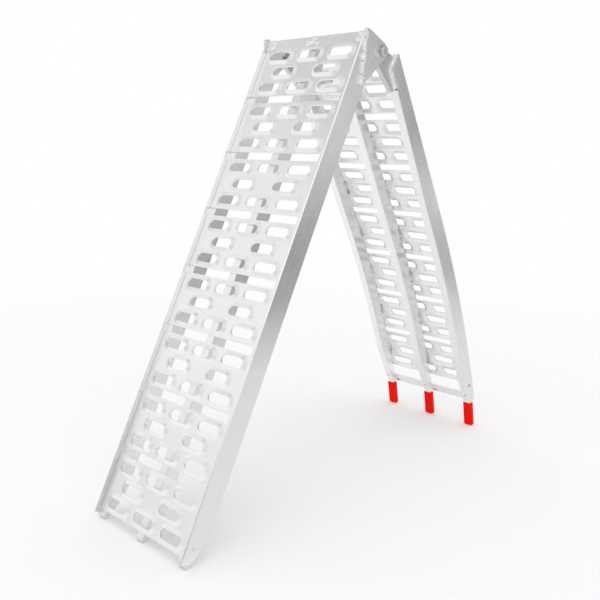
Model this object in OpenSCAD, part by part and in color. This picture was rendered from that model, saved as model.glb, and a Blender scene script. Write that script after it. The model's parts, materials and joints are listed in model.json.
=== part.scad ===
// Folding aluminium loading ramp for trucks and trailers, standing open as an A-frame.
// The ground section leans towards -Y and the arched tailgate section towards +Y.
// They fold about one axis along X, at two pivot bolts below the deck.
// Each section is drawn lying flat, in its own frame with the pivot at its origin:
// X across the ramp, Y along the deck away from the pivot, Z up from the deck.

/* [Ramp] */
// Width over the side rails of the ground section
ramp_w = 285; // [240:1:360]
// Angle between the sections where the ramp stands
stand_angle = 57; // [40:0.5:80]

/* [Rails] */
// Width of a rail tube
rail_w = 20; // [17:0.5:24]
// Depth of a side rail, from the top of its lip to its underside
rail_h = 50; // [46:0.5:58]
// Wall of a rail tube
rail_wall = 2; // [1.6:0.1:2.6]
// Thickness of the lip beside the deck
lip_t = 3; // [1.6:0.1:3.5]
// Height of the lip above the deck
lip_h = 10.5; // [6:0.5:12]

/* [Deck] */
// Thickness of the deck sheet
sheet_t = 3; // [2:0.1:4]
// Length of a deck panel along the ramp
panel_l = 119.5; // [116:0.5:140]
// Open gap between neighbouring panels
panel_gap = 16.5; // [8:0.5:25]
// Panels on the ground section
ground_panels = 8; // [4:1:8]
// Panels on the tailgate section
tail_panels = 7; // [5:1:7]
// Gap between a panel's side edge and the lip
panel_fit = 0.8; // [0.3:0.1:1.2]

/* [Traction slots] */
// Opening width of a slot, along the ramp
slot_w = 20; // [14:0.5:22]
// Opening length of a slot, across the ramp
slot_l = 60; // [44:1:64]
// Height of the raised rim above the deck
slot_rise = 4; // [2:0.5:6]
// Width of the flare round the opening
slot_flare = 7; // [4:0.5:8]
// Land on top of the rim
slot_land = 1.5; // [0.8:0.1:2.5]
// Distance between the rows of slots
row_pitch = 38.5; // [36:0.5:40]
// Offset of the outer slots from the middle of an outer row
outer_slot_x = 87; // [80:0.5:90]
// Offset of the two slots from the middle of the inner row
inner_slot_x = 60.5; // [45:0.5:70]

/* [Hinge] */
// Depth of the pivot below the top of the lips
pivot_depth = 63; // [60:0.5:72]
// Distance that the ground rails reach past the pivot
ground_reach = 15; // [8:0.5:16]
// Distance from the pivot to the end of the tailgate rails
tail_setback = 32; // [27:0.5:40]
// Thickness of a hinge ear plate
ear_t = 5; // [3:0.5:8]
// Radius of the ear round the pivot
ear_r = 19; // [17:0.5:24]
// Length of the ear along the ground rail, from the pivot
ear_l = 95; // [70:1:130]
// Depth of the ear's near corner below the top of the lip
ear_inset = 2; // [0:0.5:6]
// Depth of the ear's far corner below the top of the lip
ear_drop = 40; // [20:1:45]
// Radius of the tailgate lug round the pivot
lug_r = 15.5; // [14:0.5:16]
// Length of the notch in a tailgate rail for its lug
lug_l = 67; // [40:1:100]
// Depth of the lug's upper corner below the top of the lip
lug_drop = 10; // [6:0.5:20]
// Step from the outer face of a tailgate rail to the plate of its lug
lug_step = 8; // [6:0.5:10]
// Height of that notch above the underside of the rail
notch_h = 13; // [8:0.5:16]
// Distance that the end of a tailgate rail leans back, from its lip to its notch
tail_mitre = 20; // [8:0.5:26]
// Side gap between an ear and the tailgate section
hinge_gap = 0.6; // [0.4:0.1:1.5]
// Gap left at the stop faces when the ramp lies straight
stop_gap = 0.6; // [0.4:0.1:1.5]
// Diameter of the pivot bolt
bolt_d = 12; // [10:0.5:14]
// Radial clearance of the bolt in its holes
bolt_fit = 0.06; // [0.02:0.01:0.1]
// Width of the hexagons across the flats
hex_af = 18; // [17:0.5:22]
// Height of the bolt head
head_h = 7.5; // [5:0.5:9]
// Height of the nut
nut_h = 10; // [6:0.5:12]
// Thread that shows past the nut
thread_show = 3; // [1:0.5:6]
// Diameter of a washer
washer_d = 24; // [22:0.5:30]
// Thickness of a washer
washer_t = 2; // [1.5:0.1:3]
// Width of the cross strip at the hinge end of the ground section
hinge_strip_w = 20; // [12:0.5:25]
// Thickness of that strip
hinge_strip_t = 5; // [3:0.5:6]
// Gap between that strip and the first panel
hinge_strip_gap = 3; // [2:0.5:15]

/* [Ground end] */
// Distance that the ground rails reach past the last panel
foot_reach = 10; // [9:0.5:20]
// Depth left at the tip of a ground side rail
foot_tip_h = 24; // [22:0.5:30]
// Radius of the curved cut under the tip
foot_r = 130; // [100:1:180]
// Thickness of the foot cap past the end of the rail
cap_end = 4; // [3:0.5:6]
// Radius of the cap's nose, which stands on the ground
nose_r = 7; // [6:0.5:8]
// Depth of the nose below the tip of the rail
nose_drop = 2.5; // [1.5:0.1:3.5]
// Length of the cap's tongue inside the rail
tongue_l = 40; // [30:1:60]
// Height of that tongue
tongue_h = 6; // [5.5:0.1:6.5]
// Play of the tongue and of the finger bars in the tubes
tube_fit = 0.2; // [0.1:0.05:0.4]
// Distance of the foot rivets from the end of the rail
foot_rivet_in = 30; // [20:1:32]

/* [Tailgate end] */
// Straight length of the tailgate rails before the arch starts
straight_l = 402; // [300:1:600]
// Radius of the arch at the top of the lip
arch_r = 2840; // [2200:1:6000]
// Distance from the hinge end of the rails to the first panel
tail_margin = 16.5; // [8:0.5:25]
// Open bay between the last panel and the end strip
bay_l = 36.5; // [20:0.5:50]
// Width of the end strip
end_strip_w = 21.5; // [15:0.5:35]
// Distance from the end strip to the end of the rails
end_margin = 1.5; // [1:0.5:8]
// Depth left at the end of the tailgate rails
tail_tip_h = 27; // [26.5:0.5:36]
// Length of the tapered underside
tail_taper_l = 120; // [100:1:200]
// Thickness of a finger bar
bar_t = 8; // [6:0.5:9]
// Length of a finger bar inside the rail
bar_in = 60; // [45:1:80]
// Length of a finger past the end of the rail
finger_l = 73; // [60:1:110]
// Bend of the fingers below the deck line
finger_bend = 6; // [4:0.5:16]
// Thickness of the vinyl sleeve over and under the bar
sleeve_pad = 2.5; // [1.5:0.1:4]
// Width of a sleeve
sleeve_w = 26; // [22:0.5:30]
// Radius of the sleeve's corners
sleeve_r = 5; // [2:0.5:6]
// Gap between a sleeve and the end of the rail
sleeve_gap = 1; // [0.8:0.1:4]
// Distance of the finger rivets from the end of the rail
finger_rivet_in = 30; // [20:1:40]
// Diameter of the strap holes in the tailgate side rails
strap_hole_d = 7; // [5:0.5:9]
// Distance of the strap holes from the end of the rail
strap_hole_in = 58; // [50:1:75]
// Depth of the strap holes below the top of the lip
strap_hole_drop = 21; // [20:0.5:23]

/* [Rivets and welds] */
// Diameter of a rivet's shank
rivet_d = 4; // [3:0.1:5]
// Diameter of a rivet's head
rivet_head_d = 8; // [6:0.1:10]
// Height of a rivet's head
rivet_head_h = 1.6; // [1:0.1:2.5]
// Depth of a rivet's shank
rivet_l = 6; // [5:0.5:8]
// Radial clearance of a rivet in its holes
rivet_fit = 0.05; // [0.02:0.01:0.1]
// Radius of the fillet welds under the deck
weld_r = 4; // [2:0.5:6]
// Length of those welds
weld_l = 40; // [20:1:60]
// Radius of the welds along the hinge ears
hinge_weld_r = 5; // [2:0.5:6]
// Radius of the bead on the hinge strip over the centre rail
seam_r = 3; // [1.5:0.5:4]

/* [Hidden] */
$fn = 48;
arc_fn = 720;
cut = 1;
// Overlap of a hinge plate's straight edges with its round end, where they would only touch
blend_in = 0.02;
half_w = ramp_w / 2;
bolt_r = bolt_d / 2;

// Heights in a section's frame
lip_top = pivot_depth;
deck_top = lip_top - lip_h;
ledge = deck_top - sheet_t;
under = lip_top - rail_h;

// Places along the ground section
ground_start = -ground_reach;
ground_panel_0 = ground_start + hinge_strip_w + hinge_strip_gap;
panel_pitch = panel_l + panel_gap;
ground_end = ground_panel_0 + ground_panels * panel_pitch - panel_gap + foot_reach;
foot_tip = lip_top - foot_tip_h;
foot_rise = foot_tip - under;
foot_arc_l = sqrt(foot_r * foot_r - (foot_r - foot_rise) * (foot_r - foot_rise));
foot_arc_0 = ground_end - foot_arc_l;
foot_arc_w = under + foot_r;
nose_u = ground_end;
nose_w = foot_tip - nose_drop + nose_r;

// Places along the tailgate section, as distances along its lip
tail_start = tail_setback;
tail_panel_0 = tail_start + tail_margin;
tail_panels_end = tail_panel_0 + tail_panels * panel_pitch - panel_gap;
end_strip_0 = tail_panels_end + bay_l;
tail_end = end_strip_0 + end_strip_w + end_margin;
arch_0 = tail_start + straight_l;
arch_angle = (tail_end - arch_0) / arch_r * 180 / PI;
taper_slope = (rail_h - tail_tip_h) / tail_taper_l;
taper_angle = atan(taper_slope);
taper_wall = rail_wall / cos(taper_angle);
tail_half_w = half_w - hinge_gap;
bar_w = rail_w - 2 * rail_wall - 2 * tube_fit;

// Turns a point of the section's side view about the origin
function turned(p, a) = [p.x * cos(a) - p.y * sin(a), p.x * sin(a) + p.y * cos(a)];
// Point of a circle about the pivot where a line from p touches it
function touch(p, r, side) =
    let (a = atan2(p.y, p.x) + side * acos(r / norm(p))) r * [cos(a), sin(a)];

// Finger: its bend, and the centre of its standing corner
arch_centre = [arch_0, lip_top - arch_r];
finger_bend_at = arch_centre + turned([0, arch_r - tail_tip_h + taper_wall], -arch_angle);
finger_fall = -arch_angle - finger_bend;
tip_stand = finger_bend_at + turned([finger_l - sleeve_r, sleeve_r - sleeve_pad], finger_fall);
tip_outer = finger_bend_at + turned([finger_l - sleeve_r, bar_t + sleeve_pad - sleeve_r], finger_fall);

// Lean of the two sections from the vertical, with noses and fingers on one level floor
stand_a = nose_u - tip_stand.x * cos(stand_angle) + tip_stand.y * sin(stand_angle);
stand_b = -nose_w - tip_stand.x * sin(stand_angle) - tip_stand.y * cos(stand_angle);
ground_lean = atan2(stand_b, stand_a) + acos((sleeve_r - nose_r) / norm([stand_a, stand_b]));
tail_lean = stand_angle - ground_lean;
y_low = -max(ground_end * sin(ground_lean) + lip_top * cos(ground_lean),
    (ground_end + cap_end) * sin(ground_lean) + ledge * cos(ground_lean),
    nose_u * sin(ground_lean) + nose_w * cos(ground_lean) + nose_r);
lip_end = arch_centre + turned([0, arch_r], -arch_angle);
y_high = max(tip_outer.x * sin(tail_lean) + tip_outer.y * cos(tail_lean) + sleeve_r,
    lip_end.x * sin(tail_lean) + lip_end.y * cos(tail_lean));
pivot_y = -(y_low + y_high) / 2;
pivot_z = nose_u * cos(ground_lean) - nose_w * sin(ground_lean) + nose_r;

// Hinge outlines
ear_a = [ground_start, lip_top - ear_inset];
ear_b = [ear_l, lip_top - ear_drop];
lug_a = [tail_start + tail_mitre * lug_drop / (rail_h - notch_h), lip_top - lug_drop];
lug_b = [tail_start + lug_l, under];
lug_c = [lug_b.x, under + notch_h];
lug_v = [tail_start + tail_mitre, lug_c.y];
lug_touch = touch(lug_a, lug_r, 1) / lug_r;
function stop_u(w) = (lug_touch.y * w - lug_r - stop_gap) / lug_touch.x;
nut_x = tail_half_w - rail_w - hinge_gap;

// Stands the ground section up where it leans
module in_ground() {
    translate([0, pivot_y, pivot_z]) rotate([90 - ground_lean, 0, 0]) mirror([0, 1, 0]) children();
}

// Stands the tailgate section up where it leans
module in_tail() {
    translate([0, pivot_y, pivot_z]) rotate([tail_lean - 90, 0, 0]) children();
}

// Extrudes a side view across the ramp, from x to x + w
module across(x, w) {
    translate([x, 0, 0]) rotate([90, 0, 90]) linear_extrude(height = w) children();
}

// Puts a piece made for the right side on the side asked for
module on_side(side) {
    if (side < 0) mirror([1, 0, 0]) children();
    else children();
}

// Moves to the lip of the tailgate section, s along it, with Y along the deck there
module at_tail(s) {
    a = max(s - arch_0, 0) / arch_r * 180 / PI;
    translate([0, arch_centre.x, arch_centre.y]) rotate([-a, 0, 0])
        translate([0, min(s - arch_0, 0), arch_r]) children();
}

// Moves to the lip of the ground section, s along it
module at_ground(s) {
    translate([0, s, lip_top]) children();
}

// Side view of a band of the ground rail between two heights, cut by its toe's circle
module ground_band(low, high, start, end, toe_r) {
    translate([start, low]) square([foot_arc_0 - start, high - low]);
    intersection() {
        translate([foot_arc_0, low]) square([end - foot_arc_0, high - low]);
        translate([foot_arc_0, foot_arc_w]) circle(r = toe_r, $fn = arc_fn);
    }
}

// Half plane that trims the hinge end of a ground rail clear of the lug
module stop_trim() {
    far = 2 * rail_h;
    polygon([[stop_u(lip_top), lip_top], [stop_u(-far), -far], [-4 * far, -far], [-4 * far, lip_top]]);
}

// Ground rail tube with its curved toe and trimmed hinge end
module ground_tube(x) {
    difference() {
        across(x, rail_w) difference() {
            ground_band(under, ledge, ground_start, ground_end, foot_r);
            stop_trim();
        }
        across(x + rail_wall, rail_w - 2 * rail_wall)
            ground_band(under + rail_wall, ledge - rail_wall, ground_start - cut, ground_end + cut,
                foot_r - rail_wall);
    }
}

// Lip of a ground side rail
module ground_lip(x) {
    across(x, lip_t) translate([ground_start, ledge])
        square([ground_end - ground_start, lip_top - ledge]);
}

module foot_rivet_place() {
    translate([half_w, ground_end - foot_rivet_in, ledge - rail_wall - tube_fit - tongue_h / 2])
        rotate([0, 90, 0]) children();
}

module rivet_hole() {
    translate([0, 0, -rivet_l - cut]) cylinder(r = rivet_d / 2 + rivet_fit, h = rivet_l + 2 * cut);
}

module rivet() {
    translate([0, 0, -rivet_l]) cylinder(d = rivet_d, h = rivet_l);
    cap_r = (rivet_head_d * rivet_head_d / 4 + rivet_head_h * rivet_head_h) / (2 * rivet_head_h);
    intersection() {
        translate([0, 0, rivet_head_h - cap_r]) sphere(r = cap_r);
        cylinder(d = rivet_head_d + cut, h = rivet_head_h + cut);
    }
}

module ground_side_rail(side) {
    color("silver") in_ground() on_side(side) difference() {
        union() {
            ground_tube(half_w - rail_w);
            ground_lip(half_w - lip_t);
        }
        foot_rivet_place() rivet_hole();
    }
}

module ground_rail_centre() {
    color("silver") in_ground() ground_tube(-rail_w / 2);
}

// Frustum on a slot's outline, from radius r1 at z1 to r2 at z2
module slot_frustum(r1, r2, z1, z2) {
    reach = (slot_l - slot_w) / 2;
    for (x = [-reach, reach]) translate([x, 0, z1]) cylinder(r1 = r1, r2 = r2, h = z2 - z1);
    rotate([90, 0, 90]) linear_extrude(height = 2 * reach, center = true)
        polygon([[-r1, z1], [r1, z1], [r2, z2], [-r2, z2]]);
}

// Places of the slots on a panel: three, two and three
module slot_places() {
    for (row = [-1, 0, 1]) {
        xs = row == 0 ? [-inner_slot_x, inner_slot_x] : [-outer_slot_x, 0, outer_slot_x];
        for (x = xs) translate([x, row * row_pitch, -lip_h]) children();
    }
}

// Deck panel with raised slots, in a frame at the top of the lip
module deck_panel(w) {
    rim_r = slot_w / 2 + slot_land;
    flare = slot_flare / (slot_rise + sheet_t);
    color("gainsboro") difference() {
        union() {
            translate([-w / 2, -panel_l / 2, -lip_h - sheet_t]) cube([w, panel_l, sheet_t]);
            slot_places() slot_frustum(rim_r + slot_flare * slot_rise / (slot_rise + sheet_t), rim_r,
                0, slot_rise);
        }
        slot_places() slot_frustum(slot_w / 2 + flare * (slot_rise + sheet_t + cut),
            slot_w / 2 - flare * cut, -sheet_t - cut, slot_rise + cut);
    }
}

module ground_panel(i) {
    in_ground() at_ground(ground_panel_0 + (i - 1) * panel_pitch + panel_l / 2)
        deck_panel(ramp_w - 2 * lip_t - 2 * panel_fit);
}

module tailgate_panel(i) {
    in_tail() at_tail(tail_panel_0 + (i - 1) * panel_pitch + panel_l / 2)
        deck_panel(2 * tail_half_w - 2 * lip_t - 2 * panel_fit);
}

// Flat strip across the rails, with its underside on their top faces
module cross_strip(w, l, t) {
    color("silver") translate([-w / 2, 0, -lip_h - sheet_t]) cube([w, l, t]);
}

module ground_hinge_strip() {
    in_ground() at_ground(ground_start)
        cross_strip(ramp_w - 2 * lip_t - 2 * panel_fit, hinge_strip_w, hinge_strip_t);
}

module tailgate_end_strip() {
    in_tail() at_tail(end_strip_0 + end_strip_w / 2) translate([0, -end_strip_w / 2, 0])
        cross_strip(2 * tail_half_w - 2 * lip_t - 2 * panel_fit, end_strip_w, sheet_t);
}

module ear_outline() {
    circle(r = ear_r, $fn = 96);
    inner_r = ear_r - blend_in;
    polygon([ear_a, touch(ear_a, inner_r, 1), touch(ear_b, inner_r, -1), ear_b]);
}

module pivot_hole(x, w) {
    translate([x - cut, 0, 0]) rotate([0, 90, 0]) cylinder(r = bolt_r + bolt_fit, h = w + 2 * cut);
}

module hinge_ear(side) {
    color("silver") in_ground() on_side(side) difference() {
        across(half_w, ear_t) ear_outline();
        pivot_hole(half_w, ear_t);
    }
}

module lug_outline() {
    circle(r = lug_r, $fn = 96);
    inner_r = lug_r - blend_in;
    polygon([lug_a, touch(lug_a, inner_r, 1), touch(lug_b, inner_r, -1), lug_b, lug_c, lug_v]);
}

// Plate in the notched end of a tailgate rail, with a thicker boss at the pivot
module hinge_lug(side) {
    x = tail_half_w - rail_w;
    color("silver") in_tail() on_side(side) difference() {
        union() {
            across(x, rail_w - lug_step) lug_outline();
            across(x, rail_w) circle(r = lug_r, $fn = 96);
        }
        pivot_hole(x, rail_w);
    }
}

// Quarter round bead along Y that fills the corner between the faces -X and +Z of the origin
module weld_bead(r, l) {
    color("gainsboro") rotate([90, 0, 0]) linear_extrude(height = l, center = true) intersection() {
        circle(r = r, $fn = 32);
        translate([-r, -r]) square(r);
    }
}

// Four beads under one panel, beside the rails
module panel_weld_set(w) {
    for (side = [-1, 1]) on_side(side) translate([0, 0, -lip_h - sheet_t]) {
        translate([w / 2 - rail_w, 0, 0]) weld_bead(weld_r, weld_l);
        mirror([1, 0, 0]) translate([-rail_w / 2, 0, 0]) weld_bead(weld_r, weld_l);
    }
}

module ground_panel_welds() {
    for (i = [0:ground_panels - 1])
        in_ground() at_ground(ground_panel_0 + i * panel_pitch + panel_l / 2) panel_weld_set(ramp_w);
}

module tailgate_panel_welds() {
    for (i = [0:tail_panels - 1])
        in_tail() at_tail(tail_panel_0 + i * panel_pitch + panel_l / 2) panel_weld_set(2 * tail_half_w);
}

// Bead along the front edge of each ear, on the outer face of the ground rail
module hinge_ear_welds() {
    run = ear_b - ear_a;
    for (side = [-1, 1]) in_ground() on_side(side)
        translate([half_w, (ear_a.x + ear_b.x) / 2, (ear_a.y + ear_b.y) / 2])
            rotate([atan2(run.y, run.x), 0, 0]) mirror([1, 0, 0]) mirror([0, 0, 1])
                weld_bead(min(hinge_weld_r, ear_t), norm(run) - 2 * hinge_weld_r);
}

// Half round bead along Y that stands on the face X = 0
module seam_bead(l) {
    color("gainsboro") rotate([90, 0, 0]) linear_extrude(height = l, center = true) intersection() {
        circle(r = seam_r, $fn = 32);
        translate([0, -seam_r]) square([seam_r, 2 * seam_r]);
    }
}

// Beads between the hinge strip and the two lips, and one over the centre rail
module hinge_strip_welds() {
    in_ground() translate([0, ground_start + hinge_strip_w / 2, ledge + hinge_strip_t]) {
        for (side = [-1, 1]) on_side(side) translate([half_w - lip_t, 0, 0]) mirror([0, 0, 1])
            weld_bead(weld_r, hinge_strip_w);
        rotate([0, -90, 0]) seam_bead(hinge_strip_w);
    }
}

// Bead along Y from the origin, on the plate of a lug and against the cut edge of its rail
module lug_bead(start, end) {
    translate([0, (start + end) / 2, 0]) mirror([1, 0, 0])
        weld_bead(lug_step - rail_wall / 2, end - start);
}

// Beads in the corner between each lug and the slanted end and the notch of its rail
module hinge_lug_welds() {
    r = lug_step - rail_wall / 2;
    run = lug_v - lug_a;
    slant = atan2(run.y, run.x);
    corner = r * tan(-slant / 2);
    for (side = [-1, 1]) in_tail() on_side(side)
        translate([tail_half_w - lug_step, lug_v.x, lug_v.y]) {
            lug_bead(-corner, lug_c.x - lug_v.x);
            rotate([slant, 0, 0]) lug_bead(r - norm(run), corner);
        }
}

// Outline of a foot cap: a plate on the end of the tube and a round nose
module cap_outline() {
    translate([ground_end, foot_tip]) square([cap_end, ledge - foot_tip]);
    intersection() {
        translate([nose_u, nose_w]) circle(r = nose_r);
        translate([nose_u - nose_r, nose_w - nose_r]) square([2 * nose_r, ledge - nose_w + nose_r]);
    }
}

module cap_tongue(x) {
    across(x + rail_wall + tube_fit, rail_w - 2 * rail_wall - 2 * tube_fit)
        translate([ground_end - tongue_l, ledge - rail_wall - tube_fit - tongue_h])
            square([tongue_l + cut, tongue_h]);
}

// Moulded plug in the tip of a rail, held by its tongue and on a side rail by a rivet too
module foot_cap(x, side) {
    color("darkgray") in_ground() difference() {
        union() {
            across(x, rail_w) difference() {
                cap_outline();
                ground_band(under, ledge, ground_start, ground_end, foot_r);
            }
            cap_tongue(x);
        }
        if (side != 0) on_side(side) foot_rivet_place() rivet_hole();
    }
}

module foot_rivets() {
    color("gray") in_ground() for (side = [-1, 1]) on_side(side) foot_rivet_place() rivet();
}

// Side view of a band of the tailgate rail between two depths below the lip
module tail_band(deep, high, start, end) {
    a = (end - arch_0) / arch_r * 180 / PI;
    far = 1.1 * arch_r;
    translate([start, lip_top - deep]) square([arch_0 - start, deep - high]);
    translate(arch_centre) intersection() {
        difference() {
            circle(r = arch_r - high, $fn = arc_fn);
            circle(r = arch_r - deep, $fn = arc_fn);
        }
        polygon([[0, 0], [0, far], [far * sin(a), far * cos(a)]]);
    }
}

// What the taper takes off under the tailgate end, raised by lift for the inside of the tube
module taper_trim(lift) {
    reach = 2 * tail_taper_l;
    translate(arch_centre) rotate(-arch_angle) translate([0, arch_r - tail_tip_h + lift])
        polygon([[-reach, -reach * taper_slope], [rail_h, rail_h * taper_slope], [rail_h, -reach],
            [-reach, -reach]]);
}

module tail_tube(x) {
    skin = lip_h + sheet_t;
    difference() {
        across(x, rail_w) difference() {
            tail_band(rail_h, skin, tail_start, tail_end);
            taper_trim(0);
        }
        across(x + rail_wall, rail_w - 2 * rail_wall) difference() {
            tail_band(rail_h - rail_wall, skin + rail_wall, tail_start - cut, tail_end + cut);
            taper_trim(taper_wall);
        }
    }
}

module tail_lip(x) {
    across(x, lip_t) tail_band(lip_h + sheet_t, 0, tail_start, tail_end);
}

// Moves to the bend of a finger, with Y along the tapered underside and Z up
module at_taper(x) {
    translate([x, finger_bend_at.x, finger_bend_at.y]) rotate([taper_angle - arch_angle, 0, 0]) children();
}

module finger_rivet_place(x) {
    at_taper(x) translate([0, -finger_rivet_in, -rail_wall]) rotate([180, 0, 0]) children();
}

// Hole through the outer wall of the right rail, for the hook of a strap
module strap_hole() {
    at_tail(tail_end) translate([tail_half_w - rail_wall - cut, -strap_hole_in, -strap_hole_drop])
        rotate([0, 90, 0]) cylinder(d = strap_hole_d, h = rail_wall + 2 * cut);
}

// What the slanted end and the notch take off the hinge end of a tailgate side rail
module hinge_notch() {
    lean = tail_mitre / (rail_h - notch_h);
    polygon([[tail_start - lean * cut, lip_top + cut], lug_v, lug_c, [lug_c.x, under - cut],
        [tail_start - 2 * lean * cut, under - cut], [tail_start - 2 * lean * cut, lip_top + cut]]);
}

module tailgate_side_rail(side) {
    x = tail_half_w - rail_w;
    color("silver") in_tail() on_side(side) difference() {
        union() {
            tail_tube(x);
            tail_lip(tail_half_w - lip_t);
        }
        across(x - cut, rail_w + 2 * cut) hinge_notch();
        finger_rivet_place(x + rail_w / 2) rivet_hole();
        strap_hole();
    }
}

module tailgate_rail_centre() {
    color("silver") in_tail() difference() {
        tail_tube(-rail_w / 2);
        finger_rivet_place(0) rivet_hole();
    }
}

// Bar that lies on the tapered wall inside the tube and bends down past its end
module finger_bar(x) {
    turn = taper_angle + finger_bend;
    along = [cos(turn), -sin(turn)];
    up = [sin(turn), cos(turn)];
    tip = (finger_l - sleeve_pad) * along;
    color("silver") in_tail() difference() {
        at_taper(0) across(x - bar_w / 2, bar_w)
            polygon([[-bar_in, 0], [0, 0], tip, tip + bar_t * up, [bar_t * tan(turn / 2), bar_t],
                [-bar_in, bar_t]]);
        finger_rivet_place(x) rivet_hole();
    }
}

module rounded_slab(l, w, r) {
    translate([0, r]) square([l, w - 2 * r]);
    square([l - r, w]);
    for (y = [r, w - r]) translate([l - r, y]) circle(r = r);
}

// Vinyl sleeve over the free end of a finger bar
module finger_sleeve(x) {
    deep = bar_t + 2 * sleeve_pad;
    long = finger_l - sleeve_gap;
    color("red") in_tail()
        translate([x, finger_bend_at.x, finger_bend_at.y]) rotate([finger_fall, 0, 0])
            difference() {
                intersection() {
                    across(-sleeve_w / 2, sleeve_w) translate([sleeve_gap, -sleeve_pad])
                        rounded_slab(long, deep, sleeve_r);
                    translate([0, 0, -sleeve_pad - cut]) linear_extrude(height = deep + 2 * cut)
                        translate([-sleeve_w / 2, sleeve_gap]) mirror([1, -1])
                            rounded_slab(long, sleeve_w, sleeve_r);
                }
                translate([-bar_w / 2, 0, 0]) cube([bar_w, finger_l - sleeve_pad, bar_t]);
            }
}

module finger_rivets() {
    color("gray") in_tail() for (i = [-1, 0, 1])
        finger_rivet_place(i * (tail_half_w - rail_w / 2)) rivet();
}

module hexagon(h) {
    cylinder(d = hex_af / cos(30), h = h, $fn = 6);
}

// Turns an upright fastener to point outward from the right ear
module at_pivot(x) {
    in_ground() translate([x, 0, 0]) rotate([0, 90, 0]) children();
}

module pivot_bolts() {
    shank = half_w + ear_t + washer_t - (nut_x - washer_t - nut_h - thread_show);
    color("lightgray") for (side = [-1, 1]) on_side(side) at_pivot(half_w + ear_t + washer_t) {
        hexagon(head_h);
        translate([0, 0, -shank]) cylinder(r = bolt_r, h = shank);
    }
}

module pivot_nuts() {
    color("lightgray") for (side = [-1, 1]) on_side(side) at_pivot(nut_x - washer_t - nut_h) difference() {
        hexagon(nut_h);
        translate([0, 0, -cut]) cylinder(r = bolt_r + bolt_fit, h = nut_h + 2 * cut);
    }
}

module pivot_washers() {
    color("lightgray") for (side = [-1, 1], x = [half_w + ear_t, nut_x - washer_t])
        on_side(side) at_pivot(x) difference() {
            cylinder(d = washer_d, h = washer_t);
            translate([0, 0, -cut]) cylinder(r = bolt_r + bolt_fit, h = washer_t + 2 * cut);
        }
}

ground_side_rail(-1);  // ground_rail_left
ground_rail_centre();
ground_side_rail(1);  // ground_rail_right
for (i = [1:ground_panels]) ground_panel(i);
ground_hinge_strip();
hinge_ear(-1);  // hinge_ear_left
hinge_ear(1);  // hinge_ear_right
foot_cap(-half_w, -1);  // foot_cap_left
foot_cap(-rail_w / 2, 0);  // foot_cap_centre
foot_cap(half_w - rail_w, 1);  // foot_cap_right
foot_rivets();
ground_panel_welds();
hinge_strip_welds();
hinge_ear_welds();
tailgate_side_rail(-1);  // tailgate_rail_left
tailgate_rail_centre();
tailgate_side_rail(1);  // tailgate_rail_right
for (i = [1:tail_panels]) tailgate_panel(i);
tailgate_end_strip();
hinge_lug(-1);  // hinge_lug_left
hinge_lug(1);  // hinge_lug_right
finger_bar(-tail_half_w + rail_w / 2);  // finger_bar_left
finger_bar(0);  // finger_bar_centre
finger_bar(tail_half_w - rail_w / 2);  // finger_bar_right
finger_sleeve(-tail_half_w + rail_w / 2);  // finger_sleeve_left
finger_sleeve(0);  // finger_sleeve_centre
finger_sleeve(tail_half_w - rail_w / 2);  // finger_sleeve_right
finger_rivets();
tailgate_panel_welds();
hinge_lug_welds();
pivot_bolts();
pivot_nuts();
pivot_washers();
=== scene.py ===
import json
import math

import bmesh
import bpy
from mathutils import Matrix, Vector, noise
from mathutils.geometry import tessellate_polygon


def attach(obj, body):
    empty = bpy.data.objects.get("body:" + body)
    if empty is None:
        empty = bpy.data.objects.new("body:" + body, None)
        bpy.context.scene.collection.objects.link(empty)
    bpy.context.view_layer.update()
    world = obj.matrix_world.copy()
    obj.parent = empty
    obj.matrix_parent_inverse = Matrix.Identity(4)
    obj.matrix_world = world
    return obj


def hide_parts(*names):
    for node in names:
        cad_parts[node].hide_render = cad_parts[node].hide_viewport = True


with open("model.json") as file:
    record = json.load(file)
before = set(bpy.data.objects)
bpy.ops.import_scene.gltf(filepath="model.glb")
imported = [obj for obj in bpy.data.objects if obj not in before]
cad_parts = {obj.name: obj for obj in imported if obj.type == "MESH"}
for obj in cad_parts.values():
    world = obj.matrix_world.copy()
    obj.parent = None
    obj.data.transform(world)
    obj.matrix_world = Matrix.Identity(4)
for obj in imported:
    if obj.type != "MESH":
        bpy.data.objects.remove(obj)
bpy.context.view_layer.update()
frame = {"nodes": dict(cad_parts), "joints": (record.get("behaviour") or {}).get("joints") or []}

# Sizes are in millimetres, as in the part's source, and MM turns them into metres.
MM = 0.001
QUARTER = math.pi / 2
PIVOT = Vector(frame["joints"][0]["pos_m"])
# How far each section leans from upright where the ramp stands, as the source works it out
GROUND_LEAN = math.radians(25.8251)
TAIL_LEAN = math.radians(31.1749)
GROUND = "ground_section"
TAIL = "tailgate_section"
SIDES = ((-1, "left"), (1, "right"))
COLUMNS = ((-1, "left"), (0, "centre"), (1, "right"))

# Rails and deck
HINGE_GAP = 0.6
HALF_W = 142.5
TAIL_HALF_W = HALF_W - HINGE_GAP
RAIL_W = 20
RAIL_H = 50
RAIL_WALL = 2
LIP_T = 3
LIP_H = 10.5
SHEET_T = 3
PANEL_L = 119.5
PANEL_GAP = 16.5
PANEL_PITCH = PANEL_L + PANEL_GAP
PANEL_FIT = 0.8
SKIN = LIP_H + SHEET_T
LIP_TOP = 63
LEDGE = LIP_TOP - SKIN
UNDER = LIP_TOP - RAIL_H

# Slots
SLOT_W = 20
SLOT_L = 60
ROW_PITCH = 38.5
OUTER_SLOT_X = 87
INNER_SLOT_X = 60.5

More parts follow.
